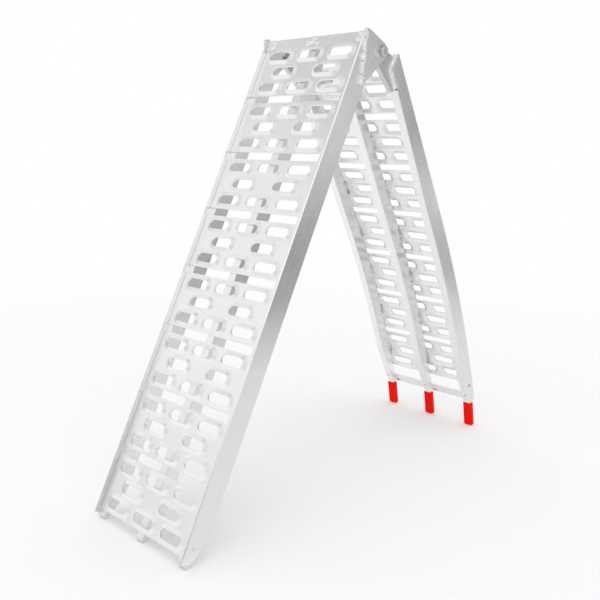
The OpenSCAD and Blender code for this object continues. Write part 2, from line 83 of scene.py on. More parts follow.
# Ground section, as distances from the pivot along its lip
GROUND_START = -15
GROUND_PANEL_0 = 8
GROUND_PANELS = 8
FOOT_REACH = 10
GROUND_END = GROUND_PANEL_0 + GROUND_PANELS * PANEL_PITCH - PANEL_GAP + FOOT_REACH
FOOT_R = 130
FOOT_TIP_H = 24
FOOT_RISE = RAIL_H - FOOT_TIP_H
FOOT_ARC_L = math.sqrt(FOOT_R ** 2 - (FOOT_R - FOOT_RISE) ** 2)
FOOT_ARC_0 = GROUND_END - FOOT_ARC_L
FOOT_RIVET_IN = 30
NOSE_R = 7
NOSE_DROP = 2.5
TONGUE_H = 6
TUBE_FIT = 0.2

# Tailgate section, as distances from the pivot along its lip
TAIL_START = 32
TAIL_MARGIN = 16.5
TAIL_PANEL_0 = TAIL_START + TAIL_MARGIN
TAIL_PANELS = 7
BAY_L = 36.5
END_STRIP_0 = TAIL_PANEL_0 + TAIL_PANELS * PANEL_PITCH - PANEL_GAP + BAY_L
END_STRIP_W = 21.5
END_MARGIN = 1.5
TAIL_END = END_STRIP_0 + END_STRIP_W + END_MARGIN
STRAIGHT_L = 402
ARCH_0 = TAIL_START + STRAIGHT_L
ARCH_R = 2840
ARCH_ANGLE = (TAIL_END - ARCH_0) / ARCH_R
TAIL_TIP_H = 27
TAPER_L = 120
TAPER_SLOPE = (RAIL_H - TAIL_TIP_H) / TAPER_L
TAPER_ANGLE = math.atan(TAPER_SLOPE)
TAPER_WALL = RAIL_WALL / math.cos(TAPER_ANGLE)
FINGER_X = TAIL_HALF_W - RAIL_W / 2
FINGER_L = 73
FINGER_BEND = math.radians(6)
FINGER_RIVET_IN = 30
SLEEVE_PAD = 2.5
SLEEVE_W = 26
SLEEVE_GAP = 1
BAR_T = 8
STRAP_HOLE_R = 3.5
STRAP_HOLE_IN = 58
STRAP_HOLE_DROP = 21

# Hinge. Corners of its plates are (distance along the section, height) from the pivot.
EAR_T = 5
EAR_R = 19
EAR_L = 95
EAR_INSET = 2
EAR_DROP = 40
EAR_A = Vector((GROUND_START, LIP_TOP - EAR_INSET))
EAR_B = Vector((EAR_L, LIP_TOP - EAR_DROP))
LUG_R = 15.5
LUG_L = 67
LUG_STEP = 8
LUG_DROP = 10
NOTCH_H = 13
TAIL_MITRE = 20
MITRE_LEAN = TAIL_MITRE / (RAIL_H - NOTCH_H)
LUG_A = Vector((TAIL_START + MITRE_LEAN * LUG_DROP, LIP_TOP - LUG_DROP))
LUG_B = Vector((TAIL_START + LUG_L, UNDER))
LUG_C = Vector((LUG_B.x, UNDER + NOTCH_H))
LUG_V = Vector((TAIL_START + TAIL_MITRE, LUG_C.y))
BOLT_R = 6
BOLT_FIT = 0.06
BOLT_HOLE_R = BOLT_R + BOLT_FIT
HEX_AF = 18
HEAD_H = 7.5
NUT_H = 10
NUT_X = TAIL_HALF_W - RAIL_W - 2 * HINGE_GAP
THREAD_SHOW = 3
WASHER_R = 12
WASHER_T = 2
RIVET_HEAD_R = 4
RIVET_HEAD_H = 1.6


# Places: a matrix takes millimetres of a section's own frame to metres of the part

def shift(x, y, z):
    return Matrix.Translation((x, y, z))


def turn_x(angle):
    return Matrix.Rotation(angle, 4, "X")


def turn_z(angle):
    return Matrix.Rotation(angle, 4, "Z")


TO_METRES = Matrix.Scale(MM, 4)
MIRROR_X = Matrix.Diagonal((-1, 1, 1, 1))
MIRROR_Y = Matrix.Diagonal((1, -1, 1, 1))
IN_GROUND = shift(*PIVOT) @ turn_x(QUARTER - GROUND_LEAN) @ MIRROR_Y @ TO_METRES
IN_TAIL = shift(*PIVOT) @ turn_x(TAIL_LEAN - QUARTER) @ TO_METRES
ARCH_CENTRE = IN_TAIL @ shift(0, ARCH_0, LIP_TOP - ARCH_R)


def at_ground(s):
    """Frame at the lip of the ground section, s along it."""
    return IN_GROUND @ shift(0, s, LIP_TOP)


def at_tail(s):
    """Frame at the lip of the tailgate section, s along it, turned with the arch."""
    turn = max(s - ARCH_0, 0) / ARCH_R
    return ARCH_CENTRE @ turn_x(-turn) @ shift(0, min(s - ARCH_0, 0), ARCH_R)


def at_finger(column):
    """Frame at the bend of a finger, with Y along the deck's end tangent."""
    height = ARCH_R - TAIL_TIP_H + TAPER_WALL
    return ARCH_CENTRE @ turn_x(-ARCH_ANGLE) @ shift(column * FINGER_X, 0, height)


def on_side(side):
    return MIRROR_X if side < 0 else Matrix.Identity(4)


# Meshes

class Shape:
    """Points, faces and flat map of one piece. The map is in metres, for the grain."""

    def __init__(self):
        self.points = []
        self.flat = []
        self.faces = []

    def ring(self, points, flat=None):
        start = len(self.points)
        self.points.extend(points)
        self.flat.extend(flat or [(p.x, p.y) for p in points])
        return list(range(start, len(self.points)))

    def bridge(self, a, b):
        """Joins two closed rings of equal count."""
        count = len(a)
        for i in range(count):
            j = (i + 1) % count
            self.faces.append((a[i], a[j], b[j], b[i]))

    def skin(self, rings):
        for a, b in zip(rings, rings[1:]):
            self.bridge(a, b)

    def fill(self, *rings):
        """Fills the first ring, leaving the other rings open as holes."""
        order = [i for ring in rings for i in ring]
        loops = [[self.points[i] for i in ring] for ring in rings]
        for tri in tessellate_polygon(loops):
            self.faces.append(tuple(order[i] for i in tri))

    def loft(self, rings):
        """Joins neighbouring rings and closes both ends."""
        self.skin(rings)
        self.fill(rings[0])
        self.fill(rings[-1])

    def join(self, other):
        start = len(self.points)
        self.points.extend(other.points)
        self.flat.extend(other.flat)
        self.faces.extend(tuple(i + start for i in face) for face in other.faces)

    def moved(self, place):
        made = Shape()
        made.points = [place @ p for p in self.points]
        made.flat = list(self.flat)
        made.faces = list(self.faces)
        return made


def mesh_of(name, shape):
    """A mesh with its flat map and outward normals."""
    mesh = bpy.data.meshes.new(name)
    mesh.from_pydata(shape.points, [], shape.faces)
    flat = mesh.uv_layers.new(name="grain")
    for loop in mesh.loops:
        flat.data[loop.index].uv = shape.flat[loop.vertex_index]
    made = bmesh.new()
    made.from_mesh(mesh)
    bmesh.ops.recalc_face_normals(made, faces=made.faces)
    made.to_mesh(mesh)
    made.free()
    return mesh


def show(name, data):
    """Puts a mesh, a lamp or a camera into the scene."""
    obj = bpy.data.objects.new(name, data)
    bpy.context.scene.collection.objects.link(obj)
    return obj


def carve(mesh, cuts):
    """Takes closed shapes out of a mesh."""
    body = show("body", mesh)
    tools = [show("cutter", mesh_of("cutter", cut)) for cut in cuts]
    for tool in tools:
        cut = body.modifiers.new("cut", "BOOLEAN")
        cut.operation = "DIFFERENCE"
        cut.solver = "EXACT"
        cut.object = tool
    graph = bpy.context.evaluated_depsgraph_get()
    made = bpy.data.meshes.new_from_object(
        body.evaluated_get(graph), preserve_all_data_layers=True, depsgraph=graph)
    for obj in (body, *tools):
        bpy.data.objects.remove(obj)
    return made


def piece(node, form, shape, look, body, sharp=40, cuts=()):
    """Makes the piece that stands for a CAD node, is named after it and its form, and rides on a body.
    Edges over sharp degrees stay sharp."""
    name = f"{node}_{form}"
    mesh = mesh_of(name, shape)
    if cuts:
        mesh = carve(mesh, cuts)
    mesh.shade_smooth()
    mesh.set_sharp_from_angle(angle=math.radians(sharp))
    mesh.materials.clear()
    mesh.materials.append(look)
    obj = show(name, mesh)
    normals = obj.modifiers.new("normals", "WEIGHTED_NORMAL")
    normals.keep_sharp = True
    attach(obj, body)
    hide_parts(node)


def arc(centre, radius, start, end, steps):
    """Points of an arc in a plane, angles in radians."""
    made = []
    for i in range(steps + 1):
        a = start + (end - start) * i / steps
        made.append(Vector((centre[0] + radius * math.cos(a), centre[1] + radius * math.sin(a))))
    return made


def circle(r, count=40):
    return [Vector((r * math.cos(2 * math.pi * i / count), r * math.sin(2 * math.pi * i / count)))
            for i in range(count)]


def rounded(corners, steps=3):
    """Outline through (x, y, radius) corners, each rounded by its radius."""
    made = []
    count = len(corners)
    for i, (x, y, r) in enumerate(corners):
        here = Vector((x, y))
        before = (Vector(corners[i - 1][:2]) - here).normalized()
        after = (Vector(corners[(i + 1) % count][:2]) - here).normalized()
        if r == 0:
            made.append(here)
            continue
        half = before.angle(after) / 2
        back = r / math.tan(half)
        centre = here + (before + after).normalized() * (r / math.sin(half))
        first = here + before * back - centre
        last = here + after * back - centre
        sweep = first.angle_signed(last)
        for k in range(steps + 1):
            made.append(centre + Matrix.Rotation(-sweep * k / steps, 2) @ first)
    return made


# Keeps an inset corner from running far out where its sides fold back
SHARPEST = 0.35


def inset(loop, distance):
    """A closed outline moved inward, to its left when it runs anticlockwise."""
    made = []
    count = len(loop)
    for i, p in enumerate(loop):
        a = (p - loop[i - 1]).normalized()
        b = (loop[(i + 1) % count] - p).normalized()
        na = Vector((-a.y, a.x))
        nb = Vector((-b.y, b.x))
        mid = na + nb
        made.append(p + mid * (distance / max(SHARPEST, mid.dot(na))))
    return made


def slab(outline, low, high, edge, holes=(), steps=3):
    """Outline in Y and Z, extruded in X from low to high, with edges rounded by edge."""
    made = Shape()
    levels = []
    for k in range(steps + 1):
        a = QUARTER * k / steps
        levels.append((low + edge * (1 - math.cos(a)), edge * (1 - math.sin(a))))
    levels += [(low + high - x, d) for x, d in reversed(levels)]

    def wall(loop, sign):
        rings = []
        for x, d in levels:
            points = inset(loop, sign * d)
            rings.append(made.ring([Vector((x, p.x, p.y)) for p in points],
                                   [((p.x + x) * MM, p.y * MM) for p in points]))
        made.skin(rings)
        return rings[0], rings[-1]

    first, last = wall(outline, 1)
    hole_ends = [wall(hole, -1) for hole in holes]
    made.fill(first, *[h[0] for h in hole_ends])
    made.fill(last, *[h[1] for h in hole_ends])
    return made


def prism(outline, low, high):
    """Outline in Y and Z, extruded in X with sharp edges, for cutting."""
    made = Shape()
    made.loft([made.ring([Vector((x, p[0], p[1])) for p in outline]) for x in (low, high)])
    return made


def lathe(profile, count=32):
    """Turns (radius, height) points about the X axis, and closes both ends."""
    made = Shape()
    rings = []
    for r, h in profile:
        points = [Vector((h, p.x, p.y)) for p in circle(r, count)]
        rings.append(made.ring(points, [(i * MM, h * MM) for i in range(count)]))
    made.loft(rings)
    return made


# Rails

EDGE_R = 1.0
BORE_R = 0.5
LIP_BEVEL = 1.8
LIP_BEVEL_R = 0.5
LIP_INNER_R = 0.6
# Shifts of the grain, so that no two rails look alike
SIDE_GRAIN = 0.3
CENTRE_GRAIN = 1
TAIL_GRAIN = 2


def side_profile(depth):
    """Outline of the right side rail, in X from its outer face and depth below the lip."""
    return rounded([(0, depth, EDGE_R), (0, LIP_BEVEL, LIP_BEVEL_R), (-LIP_BEVEL, 0, LIP_BEVEL_R),
                    (-LIP_T, 0, LIP_INNER_R), (-LIP_T, SKIN, 0), (-RAIL_W, SKIN, EDGE_R),
                    (-RAIL_W, depth, EDGE_R)])


def centre_profile(depth):
    return rounded([(0, depth, EDGE_R), (0, SKIN, EDGE_R), (-RAIL_W, SKIN, EDGE_R),
                    (-RAIL_W, depth, EDGE_R)])


def bore_profile(depth):
    near, far = -RAIL_WALL, RAIL_WALL - RAIL_W
    top, bottom = SKIN + RAIL_WALL, depth - RAIL_WALL
    return rounded([(near, bottom, BORE_R), (near, top, BORE_R), (far, top, BORE_R), (far, bottom, BORE_R)])


def sweep_rail(profile, place, stations, x_out, grain):
    """Sweeps a rail's outline and its bore along stations of (distance, depth)."""
    made = Shape()
    rings = []
    for s, depth in stations:
        pair = []
        for loop in (profile(depth), bore_profile(depth)):
            points, flat, run = [], [], grain
            for k, p in enumerate(loop):
                run += (p - loop[k - 1]).length * MM if k else 0
                points.append(place(s) @ Vector((x_out + p.x, 0, -p.y)))
                flat.append((run, s * MM))
            pair.append(made.ring(points, flat))
        rings.append(pair)
    for a, b in zip(rings, rings[1:]):
        for ring_a, ring_b in zip(a, b):
            made.bridge(ring_a, ring_b)
    for end in (rings[0], rings[-1]):
        made.fill(*end)
    return made


def touch(p, r, side):
    """Angle at which a line from p touches a circle of radius r about the pivot."""
    return math.atan2(p.y, p.x) + side * math.acos(r / p.length)


STOP_A = touch(LUG_A, LUG_R, 1)
STOP_GAP = 0.6


def stop_cut():
    """What trims the hinge end of the ground rails clear of the lugs, in every pose."""
    def stop_u(w):
        return (math.sin(STOP_A) * w - LUG_R - STOP_GAP) / math.cos(STOP_A)

    below, past, over = 8, 30, 5
    high, low, back = LEDGE - below, UNDER - below, GROUND_START - past
    outline = [(back, low), (stop_u(low), low), (stop_u(high), high), (back, high)]
    return prism(outline, -HALF_W - over, HALF_W + over).moved(IN_GROUND)


def notch_cut():
    """What the slanted end and the notch for the lug take off a tailgate side rail."""
    past, over = 10, 4
    back = TAIL_START - past
    return prism([(back, UNDER - over), (LUG_C.x, UNDER - over), LUG_C, LUG_V,
                  (TAIL_START - MITRE_LEAN * over, LIP_TOP + over), (back, LIP_TOP + over)],
                 TAIL_HALF_W - RAIL_W - over, TAIL_HALF_W + over)


def strap_cut():
    """Strap hole through the outer wall of a tailgate side rail."""
    count, over = 28, 2
    hole = prism(circle(STRAP_HOLE_R, count), TAIL_HALF_W - RAIL_WALL - over, TAIL_HALF_W + over)
    return hole.moved(shift(0, -STRAP_HOLE_IN, -STRAP_HOLE_DROP))


def ground_stations():
    """Distances along a ground rail with its depth there, close together in the curved toe."""
    hinge_end, steps = 40, 16
    made = [(GROUND_START, RAIL_H), (GROUND_START + hinge_end, RAIL_H)]
    for i in range(steps + 1):
        run = FOOT_ARC_L * i / steps
        made.append((FOOT_ARC_0 + run, RAIL_H - FOOT_R + math.sqrt(FOOT_R ** 2 - run ** 2)))
    return made


def tail_depth(s):
    """Depth of a tailgate rail, which its taper cuts straight across the arch."""
    back = (TAIL_END - s) / ARCH_R
    cut = ARCH_R - (ARCH_R - TAIL_TIP_H) / (math.cos(back) + TAPER_SLOPE * math.sin(back))
    return min(RAIL_H, cut)


def tail_stations():
    """Distances along a tailgate rail with its depth there, close together in the taper."""
    step, fine, parts = 18, 140, 10
    places = [TAIL_START, ARCH_0]
    while places[-1] + step < TAIL_END - fine:
        places.append(places[-1] + step)
    places += [TAIL_END - fine + fine * i / parts for i in range(parts + 1)]
    return [(s, tail_depth(s)) for s in places]


def rail_shape(column, half, place, stations, grain):
    """Rail of one column: a side rail, or the centre rail for column 0."""
    if column == 0:
        return sweep_rail(centre_profile, place, stations, RAIL_W / 2, grain + CENTRE_GRAIN)
    shape = sweep_rail(side_profile, place, stations, half, grain + SIDE_GRAIN * column)
    return shape.moved(on_side(column))


def make_rails(look):
    for column, word in (*SIDES, (0, "centre")):
        shape = rail_shape(column, HALF_W, at_ground, ground_stations(), 0)
        piece(f"ground_rail_{word}", "extrusion", shape, look, GROUND, cuts=[stop_cut()])
        shape = rail_shape(column, TAIL_HALF_W, at_tail, tail_stations(), TAIL_GRAIN)
        cuts = [notch_cut().moved(IN_TAIL), strap_cut().moved(at_tail(TAIL_END))] if column else []
        piece(f"tailgate_rail_{word}", "extrusion", shape, look, TAIL,
              cuts=[cut.moved(on_side(column)) for cut in cuts])


# Deck panels with pressed slots

FLARE_W = 9
FLARE_RISE = 3.8
FLARE_FILLET = 3
# Part of the fillet's radius that is lost to the flare's slope
FILLET_LOSS = 0.3
RIM_R = 0.5
PANEL_EDGE = 0.5
PANEL_CORNER = 2
PANEL_CRACK = 0.3
# Takes the grain of the tailgate's sheet clear of the ground section's
TAIL_SHEET = 3000


def sections():
    """Body, place, half width, start of the first panel, panel count and name of both sections."""
    return ((GROUND, at_ground, HALF_W, GROUND_PANEL_0, GROUND_PANELS, "ground"),
            (TAIL, at_tail, TAIL_HALF_W, TAIL_PANEL_0, TAIL_PANELS, "tailgate"))


def panel_middle(first, index):
    return first + index * PANEL_PITCH + PANEL_L / 2


def flare_profile():
    """Section of a slot's rim as (offset from the slot's spine, height).
    It runs from the deck over the rim and back below."""
    inner = SLOT_W / 2
    slope = math.atan2(FLARE_RISE, FLARE_W - FLARE_FILLET * FILLET_LOSS)
    foot = inner + FLARE_W
    steps = 5
    turns = [slope * i / steps for i in range(steps + 1)]
    top = [(foot - FLARE_FILLET * math.sin(a), FLARE_FILLET * (1 - math.cos(a))) for a in turns]
    rim = arc((inner + RIM_R, FLARE_RISE - RIM_R), RIM_R, QUARTER - slope, math.pi, steps)
    deep = FLARE_FILLET + SHEET_T
    low = [(foot - deep * math.sin(a), FLARE_FILLET - deep * math.cos(a)) for a in reversed(turns)]
    corner = (inner, low[0][1] + (low[0][0] - inner) * math.tan(slope))
    return top + [(p.x, p.y) for p in rim] + [corner] + low


def slot_places():
    """Middles of a panel's slots: three, two and three."""
    for row in (-1, 0, 1):
        xs = (-INNER_SLOT_X, INNER_SLOT_X) if row == 0 else (-OUTER_SLOT_X, 0, OUTER_SLOT_X)
        for x in xs:
            yield x, row * ROW_PITCH


def stadium(x, y, r, z, steps=14):
    """Long slot outline of radius r about a slot's spine."""
    reach = (SLOT_L - SLOT_W) / 2
    made = arc((x + reach, y), r, -QUARTER, QUARTER, steps)
    made += arc((x - reach, y), r, QUARTER, 3 * QUARTER, steps)
    return [Vector((p.x, p.y, z)) for p in made]


def panel_walls(made, width):
    """Rings down a panel's outer edge, which is a little rounded."""
    a, b, r = width / 2, PANEL_L / 2, PANEL_CORNER
    outline = rounded([(-a, -b, r), (a, -b, r), (a, b, r), (-a, b, r)], steps=4)
    nick = 0.2 * PANEL_EDGE
    walls = []
    for z, d in ((0, PANEL_EDGE), (-nick, nick), (-PANEL_EDGE, 0), (PANEL_EDGE - SHEET_T, 0),
                 (nick - SHEET_T, nick), (-SHEET_T, PANEL_EDGE)):
        walls.append(made.ring([Vector((p.x, p.y, z)) for p in inset(outline, d)]))
    made.skin(walls)
    return walls


def panel_shape(width):
    """Deck panel lying flat, its top at zero height."""
    made = Shape()
    walls = panel_walls(made, width)
    profile = flare_profile()
    tops, bottoms = [], []
    for x, y in slot_places():
        rings = [made.ring(stadium(x, y, r, z)) for r, z in profile]
        made.skin(rings)
        tops.append(rings[0])
        bottoms.append(rings[-1])
    made.fill(walls[0], *tops)
    made.fill(walls[-1], *bottoms)
    return made


def make_panels(look):
    for body, place, half, first, count, word in sections():
        flat = panel_shape(2 * (half - LIP_T - PANEL_CRACK))
        for i in range(count):
            middle = panel_middle(first, i)
            shape = flat.moved(place(middle) @ shift(0, 0, -LIP_H))
            offset = middle if body == GROUND else middle + TAIL_SHEET
            shape.flat = [(p.x * MM, (p.y + offset) * MM) for p in flat.points]
            piece(f"{word}_panel_{i + 1}", "pressed", shape, look, body, sharp=50)


# Strips, ears and lugs

STRIP_CRACK = 0.3
STRIP_R = 0.8
STRIP_EDGE = 0.6
HINGE_STRIP_L = GROUND_PANEL_0 - GROUND_START - STRIP_CRACK
HINGE_STRIP_T = 3.2
EAR_EDGE = 0.7
EAR_CORNER = 2.5
LUG_EDGE = 0.8
TURN_STEPS = 20


def strip_shape(half, length, thick):
    """Cross strip between the lips, on the skin of the rails."""
    low, high = -SKIN, thick - SKIN
    outline = rounded([(0, low, STRIP_R), (length, low, STRIP_R), (length, high, STRIP_R),
                       (0, high, STRIP_R)])
    reach = half - LIP_T - PANEL_FIT
    return slab(outline, -reach, reach, STRIP_EDGE)


def make_strips(look):
    shape = strip_shape(HALF_W, HINGE_STRIP_L, HINGE_STRIP_T).moved(at_ground(GROUND_START))
    piece("ground_hinge_strip", "bar", shape, look, GROUND)
    middle = at_tail(END_STRIP_0 + END_STRIP_W / 2) @ shift(0, -END_STRIP_W / 2, 0)
    shape = strip_shape(TAIL_HALF_W, END_STRIP_W, SHEET_T).moved(middle)
    piece("tailgate_end_strip", "bar", shape, look, TAIL)


def round_pivot(r, first, last):
    """Turn of a plate round the pivot, between its tangents to two corners."""
    turn = arc((0, 0), r, touch(first, r, 1), touch(last, r, -1) + 2 * math.pi, TURN_STEPS)
    return [(p.x, p.y, 0) for p in turn]


def ear_outline():
    corners = [(EAR_B.x, EAR_B.y, EAR_CORNER), (EAR_A.x, EAR_A.y, EAR_CORNER)]
    return rounded(corners + round_pivot(EAR_R, EAR_A, EAR_B))


def lug_outline():
    corners = [(p.x, p.y, 0) for p in (LUG_B, LUG_C, LUG_V, LUG_A)]
    return rounded(corners + round_pivot(LUG_R, LUG_A, LUG_B))


def make_hinge_plates(look, shaded_lug_look):
    """Ears on the ground rails, and lugs with a boss round the bolt in the tailgate rails."""
    hole = circle(BOLT_HOLE_R)
    boss = circle(LUG_R, count=48)
    inner, face, sunk = TAIL_HALF_W - RAIL_W, TAIL_HALF_W - LUG_STEP, 1
    for side, word in SIDES:
        ear = slab(ear_outline(), HALF_W, HALF_W + EAR_T, EAR_EDGE, [hole])
        piece(f"hinge_ear_{word}", "plate", ear.moved(IN_GROUND @ on_side(side)), look, GROUND)
        lug = slab(lug_outline(), inner, face, LUG_EDGE, [hole])
        lug.join(slab(boss, face - sunk, TAIL_HALF_W, LUG_EDGE, [hole]))
        # The lugs take the darker flat bar look, which also paints the shade that the ears cast over them
        piece(f"hinge_lug_{word}", "plate", lug.moved(IN_TAIL @ on_side(side)), shaded_lug_look, TAIL)


# Welds: lengths are in millimetres, and heights are shares of a bead's radius

BEAD_STEPS = 16
BEAD_ACROSS = 9
BEAD_END = 0.9
BEAD_TIP = 0.15
LUMP_L = 13
SWELL_L = 9
RIPPLE = 3.4
RIPPLE_STEPS = 7
RIPPLE_BOW = 1.2
RIPPLE_RISE = 0.13
RIPPLE_SINK = 0.07
DRIFT_L = 7
ROUGH = 0.07
ROUGH_L = 2.1
PANEL_WELD_L = 40
PANEL_WELD_R = 4


def bead_end(y, length, radius, tapers):
    """Share of a bead's radius that is left at y, near the ends that close."""
    end = min(y if tapers[0] else length, length - y if tapers[1] else length)
    full = min(1, max(0, end / (BEAD_END * radius)))
    return max(BEAD_TIP, math.sqrt(1 - (1 - full) ** 2))


def ripple(y, across, seed):
    """Rise of a bead's skin at y by its ripples, which bow forward in the middle of its section."""
    bow = RIPPLE_BOW * math.sin(across)
    phase = (y - bow) / RIPPLE + 0.5 * noise.noise(Vector((y / DRIFT_L, seed, 3)))
    return RIPPLE_RISE * (1 - (2 * (phase % 1) - 1) ** 2) - RIPPLE_SINK


def bead(length, radius, low, high, lump, seed, tapers=(1, 1)):
    """Rippled weld along Y, its section an arc about the Y axis from angle low to high.
    tapers tells which of its ends close."""
    made = Shape()
    steps = max(BEAD_STEPS, int(length / RIPPLE * RIPPLE_STEPS))
    rings = []
    for i in range(steps + 1):
        y = length * i / steps
        girth = radius * bead_end(y, length, radius, tapers)
        swell = 0.5 * math.sin(2 * math.pi * y / LUMP_L + seed)
        swell += noise.noise(Vector((y / SWELL_L, seed, 0)))
        points = [Vector((0, y, 0))]
        for k in range(BEAD_ACROSS + 1):
            a = low + (high - low) * k / BEAD_ACROSS
            wave = ripple(y, math.pi * k / BEAD_ACROSS, seed)
            rough = ROUGH * noise.noise(Vector((y / ROUGH_L, a * 2, seed)))
            r = girth * ((1 + lump * swell) * (1 + wave) + rough)
            points.append(Vector((r * math.cos(a), y, r * math.sin(a))))
        rings.append(made.ring(points, [(k * 2 * MM, y * MM) for k in range(len(points))]))
    made.loft(rings)
    return made


def panel_weld_set(half, seed):
    """Four fillet welds under a panel, beside the rails."""
    made = Shape()
    lump, seed_step = 0.4, 1.7
    for n, (x, side) in enumerate(((half - RAIL_W, -1), (-half + RAIL_W, 1),
                                   (RAIL_W / 2, 1), (-RAIL_W / 2, -1))):
        low, high = (2 * QUARTER, 3 * QUARTER) if side < 0 else (-QUARTER, 0)
        one = bead(PANEL_WELD_L, PANEL_WELD_R, low, high, lump, seed + n * seed_step)
        made.join(one.moved(shift(x, -PANEL_WELD_L / 2, -SKIN)))
    return made


def make_panel_welds(look):
    seed_step = 11.3
    for body, place, half, first, count, word in sections():
        made = Shape()
        for i in range(count):
            made.join(panel_weld_set(half, i * seed_step).moved(place(panel_middle(first, i))))
        piece(f"{word}_panel_welds", "rippled", made, look, body)


def make_strip_welds(look):
    """Puddles of weld at both ends of the hinge strip and over the centre rail.
    Each stroke is its start across and along the strip, its bearing, length and radius."""
    end = HALF_W - LIP_T
    strokes = ((5 - end, 0, 4, 29, 6.5), (13 - end, 0, 6, 29, 7), (21 - end, 3, -8, 23, 5.5),
               (end - 5, 0, 0, 30, 7), (end - 13, 1, -8, 24, 6),
               (-20, 22, 122, 33, 7), (-5, 8, 58, 26, 6), (-23, 15, 104, 24, 5.5))
    flat = Matrix.Diagonal((1, 1, 0.9, 1))
    lump, first_seed, seed_step, sunk = 0.25, 9, 2.3, 0.5
    made = Shape()
    for n, (x, u, turn, length, radius) in enumerate(strokes):
        one = bead(length, radius, 0, math.pi, lump, first_seed + seed_step * n)
        place = shift(x, GROUND_START + u, LEDGE + HINGE_STRIP_T - sunk) @ turn_z(-math.radians(turn))
        made.join(one.moved(IN_GROUND @ place @ flat))
    piece("hinge_strip_welds", "rippled", made, look, GROUND)


def make_ear_welds(look):
    """Stitches along the ears: heavy at both ends and in the middle, thin between.
    Each one is its start and end, as shares of the ear's edge, and its radius."""
    stitches = ((0.0, 0.17, 8), (0.18, 0.40, 5.5), (0.41, 0.57, 8), (0.58, 0.79, 5.5), (0.80, 1.0, 8))
    lump, first_seed = 0.15, 20
    run = EAR_B - EAR_A
    slant = math.atan2(run.y, run.x)
    made = Shape()
    for side in (-1, 1):
        place = IN_GROUND @ on_side(side) @ shift(HALF_W, EAR_A.x, EAR_A.y) @ turn_x(slant)
        for n, (start, end, radius) in enumerate(stitches):
            one = bead((end - start) * run.length, radius, 0, QUARTER, lump, first_seed + side + n)
            made.join(one.moved(place @ shift(0, start * run.length, 0)))
    piece("hinge_ear_welds", "rippled", made, look, GROUND)


def make_lug_welds(look):
    """Beads between the plate of each lug and the slanted end and the notch of its rail."""
    radius, over = LUG_STEP - RAIL_WALL / 2, 7
    lump, notch_seed, end_seed = 0.1, 30, 40
    run = LUG_V - LUG_A
    slant = math.atan2(run.y, run.x)
    corner = radius * math.tan(-slant / 2)
    made = Shape()
    for side in (-1, 1):
        place = IN_TAIL @ on_side(side) @ shift(TAIL_HALF_W - LUG_STEP, LUG_V.x, LUG_V.y)
        one = bead(LUG_C.x - LUG_V.x + corner, radius, -QUARTER, 0, lump, notch_seed + side, (0, 1))
        made.join(one.moved(place @ shift(0, -corner, 0)))
        one = bead(run.length + over + corner, radius, -QUARTER, 0, lump, end_seed + side, (1, 0))
        made.join(one.moved(place @ turn_x(slant) @ shift(0, -over - run.length, 0)))
    piece("hinge_lug_welds", "rippled", made, look, TAIL)


# Fasteners

HEX_COUNT = 48
HEX_FACE = 0.96
HEX_CHAMFER = math.radians(28)
# Stands for the axis in a turned profile, where a ring has to keep some size
ON_AXIS = 0.01
# Raised pad in the middle of a bolt head, as (radius, height), and how far it is sunk
HEAD_PAD = ((5.5, 0), (5.5, 0.25), (5.1, 0.45), (ON_AXIS, 0.3))
HEAD_PAD_SUNK = 0.2
THREAD_PITCH = 1.75
THREAD_DEEP = 0.9
TIP_L = 1.2
TIP_CHAMFER = 0.8
WASHER_EDGE = 0.5
STUB_R = 1.8
RIVET_RIM = 0.25
# Dimple of a rivet, as (radius, depth)
DIMPLE = ((STUB_R - 0.2, 0.2), (STUB_R - 0.3, 0.8), (ON_AXIS, 0.9))


def hexagon(height, both):
    """Hexagon along X with chamfered corners, on its far end or on both ends."""
    made = Shape()
    flat_r = HEX_AF / 2 * HEX_FACE
    rim, drop = [], []
    for i in range(HEX_COUNT):
        a = 2 * math.pi * i / HEX_COUNT
        part = (a + math.pi / 6) % (math.pi / 3) - math.pi / 6
        r = HEX_AF / 2 / math.cos(part)
        rim.append((r * math.cos(a), r * math.sin(a)))
        drop.append(max(0, (r - flat_r) * math.tan(HEX_CHAMFER)))
    face = circle(flat_r, HEX_COUNT)
    flat = [0] * HEX_COUNT

    def level(points, heights):
        return made.ring([Vector((h, p[0], p[1])) for p, h in zip(points, heights)])

    rings = [level(face, flat)] if both else []
    rings.append(level(rim, drop if both else flat))
    rings.append(level(rim, [height - d for d in drop]))
    rings.append(level(face, [height] * HEX_COUNT))
    made.loft(rings)
    return made


def thread(length):
    """Threaded end of a bolt along X, with a chamfered tip."""
    made = Shape()
    count, steps_per_turn = 36, 8
    steps = int(length / THREAD_PITCH * steps_per_turn)
    rings = []
    for i in range(steps + 1):
        x = length * i / steps
        fade = min(1, (length - x) / TIP_L)
        points = []
        for k in range(count):
            a = 2 * math.pi * k / count
            saw = abs(((x / THREAD_PITCH - k / count) % 1) * 2 - 1)
            r = BOLT_R - THREAD_DEEP * saw - TIP_CHAMFER * (1 - fade)
            points.append(Vector((x, r * math.cos(a), r * math.sin(a))))
        rings.append(made.ring(points))
    made.loft(rings)
    return made


